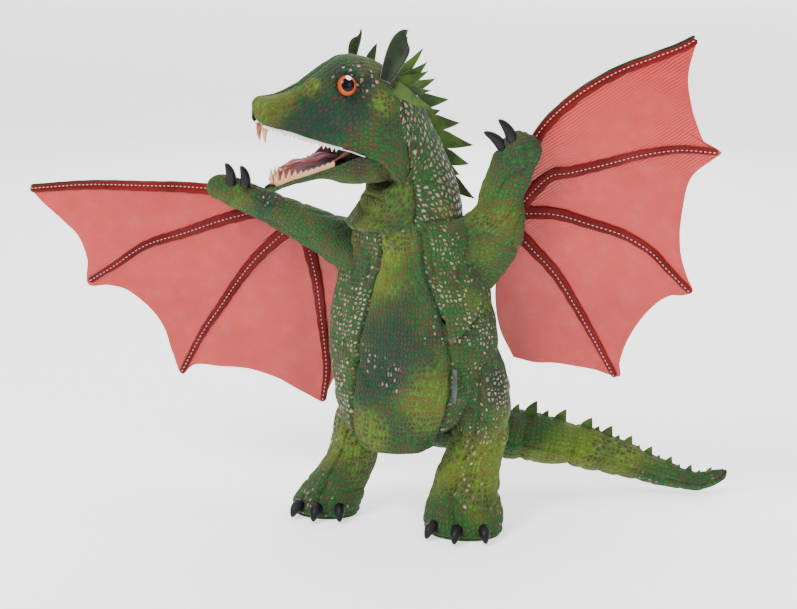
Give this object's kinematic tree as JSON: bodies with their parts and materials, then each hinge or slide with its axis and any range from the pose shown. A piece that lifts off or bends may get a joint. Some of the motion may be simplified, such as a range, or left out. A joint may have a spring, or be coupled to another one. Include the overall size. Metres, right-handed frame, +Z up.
{
  "type": "hand puppet",
  "caption": "Plush winged dragon hand puppet with an opening mouth, arms that carry folding mesh wings, short legs and a jointed tail.",
  "frame": {"origin": "on the table under the middle of the puppet's bounding box", "axes": "+Z up, -Y the way the belly faces, +X toward the puppet's left hand"},
  "size_m": [0.801, 0.2766, 0.5488],
  "materials": {
    "scale_plush": "short nap",
    "dark_plush": "short nap",
    "lining_cloth": "matt",
    "felt": "matt",
    "white_satin": "satin",
    "tooth_felt": "matt",
    "mouth_cloth": "matt",
    "tongue_cloth": "matt",
    "eye_plastic": "gloss",
    "claw_vinyl": "satin",
    "wing_mesh": "open mesh",
    "rib_mesh": "matt",
    "label_tape": "matt"
  },
  "bodies": {
    "torso": {"belly_panel": "scale_plush", "side_panel_right": "scale_plush", "side_panel_left": "scale_plush", "back_panel": "scale_plush", "glove_lining": "lining_cloth", "side_label": "label_tape"},
    "neck": {"neck_throat": "dark_plush", "neck_nape": "scale_plush", "neck_crest": "felt"},
    "head": {"skull": "scale_plush", "palate_lining": "white_satin", "upper_teeth": "white_satin", "fangs": "tooth_felt", "eye_right": "eye_plastic", "eye_left": "eye_plastic", "ear_right": "scale_plush", "ear_left": "scale_plush", "head_frill": "felt"},
    "jaw": {"jaw": "scale_plush", "jaw_lining": "mouth_cloth", "lower_teeth": "tooth_felt", "tongue": "tongue_cloth"},
    "arm_r": {"arm_right": "scale_plush", "hand_right": "scale_plush", "hand_claws_right": "claw_vinyl"},
    "arm_l": {"arm_left": "scale_plush", "hand_left": "scale_plush", "hand_claws_left": "claw_vinyl"},
    "wing_r": {"wing_membrane_right": "wing_mesh", "wing_ribs_right": "rib_mesh", "wing_edge_right": "felt"},
    "wing_l": {"wing_membrane_left": "wing_mesh", "wing_ribs_left": "rib_mesh", "wing_edge_left": "felt"},
    "leg_r": {"leg_right": "scale_plush", "foot_right": "scale_plush", "sole_right": "dark_plush", "toe_claws_right": "claw_vinyl"},
    "leg_l": {"leg_left": "scale_plush", "foot_left": "scale_plush", "sole_left": "dark_plush", "toe_claws_left": "claw_vinyl"},
    "tail_root": {"tail_base": "scale_plush", "tail_crest_base": "felt"},
    "tail_end": {"tail_tip": "scale_plush", "tail_crest_tip": "felt"}
  },
  "joints": [
    {"name": "neck_turn", "type": "hinge", "parent": "torso", "child": "neck", "pos_m": [0.056, -0.024, 0.342], "axis": [0, 0, 1], "range_deg": [-20, 50]},
    {"name": "head_nod", "type": "hinge", "parent": "neck", "child": "head", "pos_m": [0.043, -0.034, 0.442], "axis": [0.6293, -0.7771, 0], "range_deg": [-8, 8]},
    {"name": "jaw_open", "type": "hinge", "parent": "head", "child": "jaw", "pos_m": [0.01969, -0.05288, 0.406], "axis": [0.6293, -0.7771, 0], "range_deg": [-11, 8]},
    {"name": "shoulder_right", "type": "hinge", "parent": "torso", "child": "arm_r", "pos_m": [-0.028, -0.01, 0.318], "axis": [0, 1, 0], "range_deg": [-35, 20]},
    {"name": "shoulder_left", "type": "hinge", "parent": "torso", "child": "arm_l", "pos_m": [0.156, -0.017, 0.312], "axis": [0, 1, 0], "range_deg": [-6, 50]},
    {"name": "wing_fold_right", "type": "hinge", "parent": "arm_r", "child": "wing_r", "pos_m": [-0.17765, 0.01772, 0.35598], "axis": [0.9771, 0.0658, -0.2025], "range_deg": [0, 45]},
    {"name": "wing_fold_left", "type": "hinge", "parent": "arm_l", "child": "wing_l", "pos_m": [0.1599, 0.00892, 0.32182], "axis": [0.2896, -0.1942, 0.9372], "range_deg": [-4, 42]},
    {"name": "hip_right", "type": "hinge", "parent": "torso", "child": "leg_r", "pos_m": [-0.001, -0.006, 0.097], "axis": [1, 0, 0], "range_deg": [-12, 12]},
    {"name": "hip_left", "type": "hinge", "parent": "torso", "child": "leg_l", "pos_m": [0.139, -0.004, 0.097], "axis": [1, 0, 0], "range_deg": [-12, 12]},
    {"name": "tail_swing", "type": "hinge", "parent": "torso", "child": "tail_root", "pos_m": [0.094, 0.047, 0.086], "axis": [0, 0, 1], "range_deg": [-6, 25]},
    {"name": "tail_curl", "type": "hinge", "parent": "tail_root", "child": "tail_end", "pos_m": [0.225, 0.0896, 0.06], "axis": [0, 0, 1], "range_deg": [-25, 25]}
  ]
}
